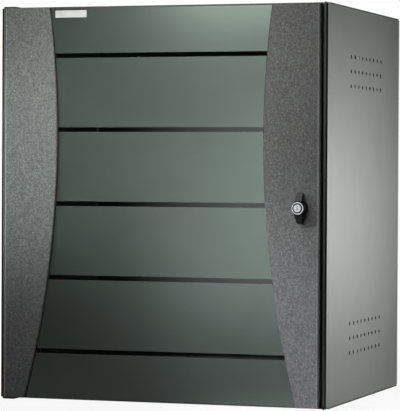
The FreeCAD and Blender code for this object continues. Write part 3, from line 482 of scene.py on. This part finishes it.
PLATE_LEFT = -0.176
PLATE_RIGHT = -0.123
PLATE_BELOW_TOP = (0.0184, 0.0071)
PLATE_DEPTH = 0.0008
PLATE_CORNER = 0.0012
PLATE_RIM = 0.0003
glass_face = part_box("frosted_bands")[0].y
cabinet_top = CAD_BOX[1].z
plate_low = Vector((PLATE_LEFT, glass_face - PLATE_DEPTH, cabinet_top - PLATE_BELOW_TOP[0]))
plate_high = Vector((PLATE_RIGHT, glass_face, cabinet_top - PLATE_BELOW_TOP[1]))
plate = rounded_plate("bare_plate", plate_low, plate_high, PLATE_CORNER, PLATE_RIM)
plate.data.materials.append(pale_foil())
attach(plate, "door")
print("plate", tuple(plate_high - plate_low))

# %% [markdown]
# ## The side panels' dark strips
#
# A black line runs between each front post and the side panel beside it: the shade of the slit there. A
# black rubber strip is put in the slit as painted shade. Its tongue fills the slit between the two sheets,
# and its rounded cap lies on the panel's front edge. A strip has one profile all along, so it is one outline
# at two heights with faces between them.


# %% Black strips of painted shade
# Sizes of the black strips that stand as painted shade in the slit beside each side panel.
SHADE_STRIP_CAP = (0.26745, 0.26985)
SHADE_STRIP_TONGUE = (0.26740, 0.26870)
SHADE_STRIP_FRONT = 0.0014
SHADE_STRIP_BACK = 0.0060
SHADE_STRIP_ROUND = 0.0006
SHADE_STRIP_ARC_STEPS = 6
SHADE_STRIP_SHORT = 0.0003


def shade_strip_outline(edge):
    """The right-hand strip's profile, seen from above, on a panel whose front edge is at that depth."""
    near, far = SHADE_STRIP_CAP
    inner, outer = SHADE_STRIP_TONGUE
    back = edge + SHADE_STRIP_BACK
    arc_y = edge - SHADE_STRIP_FRONT + SHADE_STRIP_ROUND
    points = [(outer, back), (inner, back), (inner, edge), (near, edge)]
    for arc_x, start in ((near + SHADE_STRIP_ROUND, math.pi), (far - SHADE_STRIP_ROUND, 1.5 * math.pi)):
        for number in range(SHADE_STRIP_ARC_STEPS + 1):
            turn = start + number / SHADE_STRIP_ARC_STEPS * math.pi / 2
            points.append((arc_x + SHADE_STRIP_ROUND * math.cos(turn), arc_y + SHADE_STRIP_ROUND * math.sin(turn)))
    return points + [(far, edge), (outer, edge)]


def lofted(name, rings):
    """A closed mesh through a row of rings with equally many points, with a face at both ends."""
    shape = bmesh.new()
    loops = [[shape.verts.new(point) for point in ring] for ring in rings]
    for lower, upper in zip(loops, loops[1:]):
        for number in range(len(lower)):
            shape.faces.new((lower[number - 1], lower[number], upper[number], upper[number - 1]))
    shape.faces.new(loops[0])
    shape.faces.new(loops[-1])
    bmesh.ops.recalc_face_normals(shape, faces=shape.faces)
    return piece_of(name, shape)


panel_low, panel_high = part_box("right_side_panel")
right_outline = shade_strip_outline(panel_low.y)
shade_strip_ends = (panel_low.z + SHADE_STRIP_SHORT, panel_high.z - SHADE_STRIP_SHORT)
# One black strip of painted shade on each side.
for side, sign in (("right", 1), ("left", -1)):
    rings = [[(sign * x, y, z) for x, y in right_outline] for z in shade_strip_ends]
    shade_strip = lofted(side + "_panel_shade_strip", rings)
    shade_strip.data.materials.append(SHADE_RUBBER)
    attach(shade_strip, "cabinet")
print("seals of", len(right_outline), "points each")

# %% [markdown]
# ## Black beads of painted shade
#
# Where a stile's curved lip stands on the glass, a thin black bead is put in the corner. It is painted
# shade:
# the dark line of the lip's shaded side beside the left stile. A bead follows the lip's arc, so it is lofted
# through many small rings, each a corner with a hollow face.


# %% Beads along the stiles
LIP_RADIUS = 1.590
LIP_WIDEST = 0.17051
LIP_WIDEST_DROP = 0.206
# Size of the black bead put as painted shade where each stile's lip meets the glass.
BEAD = 0.0015
BEAD_UNDER_LIP = 0.0005
BEAD_STEPS = 48
BEAD_ARC_STEPS = 5


def bead_ring(sign, z, widest_z, glass):
    """The bead's outline at one height: a hollow quarter round between the glass and the lip."""
    lip = LIP_WIDEST + LIP_RADIUS - math.sqrt(LIP_RADIUS ** 2 - (z - widest_z) ** 2)
    under_lip = sign * (lip + BEAD_UNDER_LIP)
    ring = [(under_lip, glass, z)]
    for number in range(BEAD_ARC_STEPS + 1):
        turn = number / BEAD_ARC_STEPS * math.pi / 2
        ring.append((sign * (lip - BEAD + BEAD * math.sin(turn)), glass - BEAD + BEAD * math.cos(turn), z))
    return ring + [(under_lip, glass - BEAD, z)]


pane_low, pane_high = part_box("glass_pane")
widest_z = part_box("left_stile")[1].z - LIP_WIDEST_DROP
pane_height = pane_high.z - pane_low.z
heights = [pane_low.z + number / BEAD_STEPS * pane_height for number in range(BEAD_STEPS + 1)]
for side, sign in (("right", 1), ("left", -1)):
    bead = lofted(side + "_shade_bead", [bead_ring(sign, z, widest_z, pane_low.y) for z in heights])
    bead.data.materials.append(SHADE_RUBBER)
    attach(bead, "door")
print("beads through", len(heights), "rings each")

# %% [markdown]
# ## The hinge spring
#
# A small wire spring in the upper hinge block pushes the hinge pin up. When the pin is drawn, the spring is
# pressed together. A coil of round wire stands for the plain CAD solid here: rings that are square to the
# wire follow one helix.


# %% Coil of round wire
WIRE_RADIUS = 0.0005
SPRING_TURNS = 5
TURN_STEPS = 32
WIRE_POINTS = 10

spring_low, spring_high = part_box("hinge_spring")
spring_middle = (spring_low + spring_high) / 2
coil_radius = (spring_high.x - spring_low.x) / 2 - WIRE_RADIUS
coil_start = spring_low.z + WIRE_RADIUS
coil_rise = spring_high.z - spring_low.z - 2 * WIRE_RADIUS
coil_angle = SPRING_TURNS * 2 * math.pi


def wire_ring(share):
    """A ring of points around the wire, at a share of the coil's whole run."""
    outward = Vector((math.cos(share * coil_angle), math.sin(share * coil_angle), 0))
    run = Vector((-outward.y, outward.x, coil_rise / (coil_angle * coil_radius))).normalized()
    square = run.cross(outward)
    axis_point = Vector((spring_middle.x, spring_middle.y, coil_start + share * coil_rise))
    centre = axis_point + coil_radius * outward
    turns = [number / WIRE_POINTS * 2 * math.pi for number in range(WIRE_POINTS)]
    return [centre + WIRE_RADIUS * (math.cos(turn) * outward + math.sin(turn) * square) for turn in turns]


ring_count = SPRING_TURNS * TURN_STEPS
spring = lofted("sprung_coil", [wire_ring(number / ring_count) for number in range(ring_count + 1)])
spring.data.materials.append(FINISHES["bright_steel"])
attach(spring, "door")
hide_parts("hinge_spring")
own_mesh(spring)

# %% [markdown]
# ## The camera
#
# A long lens stands to the right of the door, level with the cabinet's middle. Its place was worked out from
# the corners of the door and the side panel.

# %% Camera
CAMERA_PLACE = Vector((1.265, -3.777, 0.3677))
CAMERA_TURN = 0.3257
CAMERA_DOWN = 0.0150
CAMERA_ROLL = 0.0052
LENS = 211.1
SENSOR = 36.0

lens = bpy.data.cameras.new("camera")
lens.lens = LENS
lens.sensor_width = SENSOR
camera = bpy.data.objects.new("camera", lens)
turn = Matrix.Rotation(CAMERA_TURN, 4, "Z") @ Matrix.Rotation(math.pi / 2 - CAMERA_DOWN, 4, "X")
camera.matrix_world = Matrix.Translation(CAMERA_PLACE) @ turn @ Matrix.Rotation(CAMERA_ROLL, 4, "Z")
bpy.context.scene.collection.objects.link(camera)
bpy.context.scene.camera = camera
print("camera at", tuple(CAMERA_PLACE), "with a lens of", LENS)

# %% [markdown]
# ## Floor and surroundings
#
# The cabinet stands in a white studio. The camera sees plain white, and so do metal and glass that look
# away from the camera's side. The rest of the room is dim, as behind a photographer, which keeps the clear
# stripes dark. The floor is white too, and keeps a faint shadow.

# %% White room
FLOOR_RADIUS = 1.2
FLOOR_SEGMENTS = 96
FLOOR_FADE = 0.5
FLOOR_GLOW = 0.92
FLOOR_MIRRORED = 0.06
DIM_ROOM = 0.012
PAPER_BACK = (0.0, 0.1)
PAPER_EDGE = (0.05, -0.25)
PAPER_TOP = (0.04, 0.02)


def ray(wire, kind):
    """1 for rays of that kind, 0 for others."""
    return wire.node("ShaderNodeLightPath", {}, {}, kind)


def mirrored_or_through(wire):
    """1 for rays that metal mirrors or glass lets through."""
    return wire.maths("MAXIMUM", ray(wire, "Is Glossy Ray"), ray(wire, "Is Transmission Ray"))


def white_floor():
    material, place, shader = new_finish("white_floor")
    tree = material.node_tree
    glow = tree.nodes.new("ShaderNodeEmission")
    plug(shader, {"Base Color": grey(0.80), "Roughness": 0.9})
    seen = place.maths("MAXIMUM", ray(place, "Is Camera Ray"), FLOOR_MIRRORED * mirrored_or_through(place))
    away = place.node("ShaderNodeVectorMath", {"operation": "LENGTH"}, {0: place}, "Value")
    share = FLOOR_GLOW + (1 - FLOOR_GLOW) * step(away, FLOOR_FADE, FLOOR_RADIUS)
    blend = tree.nodes.new("ShaderNodeMixShader")
    plug(blend, {0: share * seen, 1: Wire(shader.outputs[0]), 2: Wire(glow.outputs[0])})
    plug(tree.nodes["Material Output"], {"Surface": Wire(blend.outputs[0])})
    return material


def white_world():
    world = bpy.data.worlds.new("studio")
    world.use_nodes = True
    tree = world.node_tree
    direction = Wire(tree.nodes.new("ShaderNodeTexCoord").outputs["Generated"])
    across, behind, up = [direction.along(axis) for axis in "XYZ"]
    paper = step(behind, *PAPER_BACK) * step(across, *PAPER_EDGE) * step(up, *PAPER_TOP)
    mirrored = mirrored_or_through(direction) * paper
    white = direction.maths("MAXIMUM", ray(direction, "Is Camera Ray"), mirrored)
    strength = direction.maths("MAXIMUM", white, DIM_ROOM)
    plug(tree.nodes["Background"], {"Color": grey(1.0), "Strength": strength})
    bpy.context.scene.world = world


disc = bmesh.new()
bmesh.ops.create_circle(disc, cap_ends=True, radius=FLOOR_RADIUS, segments=FLOOR_SEGMENTS)
floor = piece_of("floor", disc)
floor.data.materials.append(white_floor())
floor.location.z = CAD_BOX[0].z
white_world()
bpy.context.scene.view_settings.view_transform = "Standard"
print("floor at", CAD_BOX[0].z)

# %% [markdown]
# ## Lamps
#
# Soft boxes light the cabinet from the front. The key lamp, high on the left, throws the knob's shadow, one
# box in front is mirrored by the glass, and two behind on the right give the side panel its soft glare.
# Others light the top, the rear and both sides evenly. A bare lamp would spill over everything, so most
# boxes have a narrow spread, as a studio box has with a grid in front of it.

# %% Soft boxes
DOOR_MIDDLE = Vector((0.0, -0.236, 0.31))
BODY_MIDDLE = Vector((0.0, 0.0, 0.31))
SIDE_FRONT = Vector((0.27, -0.20, 0.31))
WHITE = (1.0, 1.0, 1.0)
COOL = (0.82, 1.0, 0.97)
OFF_GREEN = (0.96, 1.0, 0.95)
BLUISH = (0.98, 0.98, 1.03)
# Each lamp: name, place, aim, size in metres, spread in degrees, power in watts, tint
LAMPS = [
    ("front", (-0.25, -2.80, 0.50), DOOR_MIDDLE, 0.45, 180, 1.2, WHITE),
    ("over_door", (-0.10, -1.10, 0.85), Vector((-0.10, -0.236, 0.50)), 0.30, 50, 0.90, OFF_GREEN),
    ("over_right", (0.20, -1.10, 0.85), Vector((0.20, -0.236, 0.50)), 0.30, 50, 0.23, WHITE),
    ("over_glass", (-0.36, -1.60, 0.78), Vector((-0.36, -0.236, 0.78)), 0.22, 120, 0.085, WHITE),
    ("over_knob", (0.00, -0.42, 1.05), Vector((0.232, -0.245, 0.325)), 0.15, 20, 0.012, WHITE),
    ("left_beam", (-1.15, -1.00, 0.45), Vector((-0.22, -0.236, 0.38)), 0.30, 12, 0.26, COOL),
    ("key", (-0.46, -0.67, 0.69), Vector((0.25, -0.236, 0.09)), 0.15, 28, 0.49, BLUISH),
    ("side", (1.20, 0.80, 0.36), SIDE_FRONT, 0.30, 60, 1.42, WHITE),
    ("side_low", (0.80, 0.80, 0.20), SIDE_FRONT, 0.30, 60, 0.12, WHITE),
    ("top", (0.00, 0.25, 2.20), Vector((0.0, 0.05, 0.625)), 0.40, 20, 0.55, WHITE),
    ("rear", (-0.50, 1.90, 0.35), BODY_MIDDLE, 0.50, 45, 2.2, WHITE),
    ("left", (-2.00, 0.50, 0.35), BODY_MIDDLE, 0.50, 35, 1.8, WHITE),
    ("right", (2.00, 0.00, 0.35), BODY_MIDDLE, 0.50, 35, 0.60, WHITE),
]
MIRRORED_PLACE = (-0.30, -1.60, 0.29)
MIRRORED_SIZE = (0.60, 0.48)
MIRRORED_POWER = 1.95
MIRRORED_FADE = 0.65


def hang(light, place, aim):
    """Puts a lamp in the room, out of the camera's sight and not seen through glass."""
    lamp = bpy.data.objects.new(light.name, light)
    lamp.location = place
    lamp.rotation_euler = (aim - Vector(place)).to_track_quat("-Z", "Y").to_euler()
    lamp.visible_camera = False
    lamp.visible_transmission = False
    bpy.context.scene.collection.objects.link(lamp)


def soft_box(name, place, aim, size, spread, power, tint):
    """A square lamp. A small spread, in degrees, narrows its beam as a grid in front of it would."""
    light = bpy.data.lights.new(name, "AREA")
    light.shape = "SQUARE"
    light.size = size
    light.spread = math.radians(spread)
    light.energy = power
    light.color = tint
    hang(light, place, aim)


def fading_box():
    """A wide lamp, parallel to the door, whose cloth darkens to the left."""
    light = bpy.data.lights.new("mirrored", "AREA")
    light.shape = "RECTANGLE"
    light.size, light.size_y = MIRRORED_SIZE
    light.energy = MIRRORED_POWER
    light.use_nodes = True
    tree = light.node_tree
    spot = Wire(tree.nodes.new("ShaderNodeNewGeometry").outputs["Parametric"])
    fade = step(spot.along("X"), 0.0, MIRRORED_FADE)
    plug(tree.nodes["Emission"], {"Color": mixed(fade, grey(0.0), grey(1.0, -0.03))})
    hang(light, MIRRORED_PLACE, Vector((MIRRORED_PLACE[0], DOOR_MIDDLE.y, MIRRORED_PLACE[2])))


for lamp_values in LAMPS:
    soft_box(*lamp_values)
fading_box()
print("lit by", len(LAMPS) + 1, "soft boxes")

# %% [markdown]
# ## Size and finish
#
# Dressing must not change the cabinet's size.
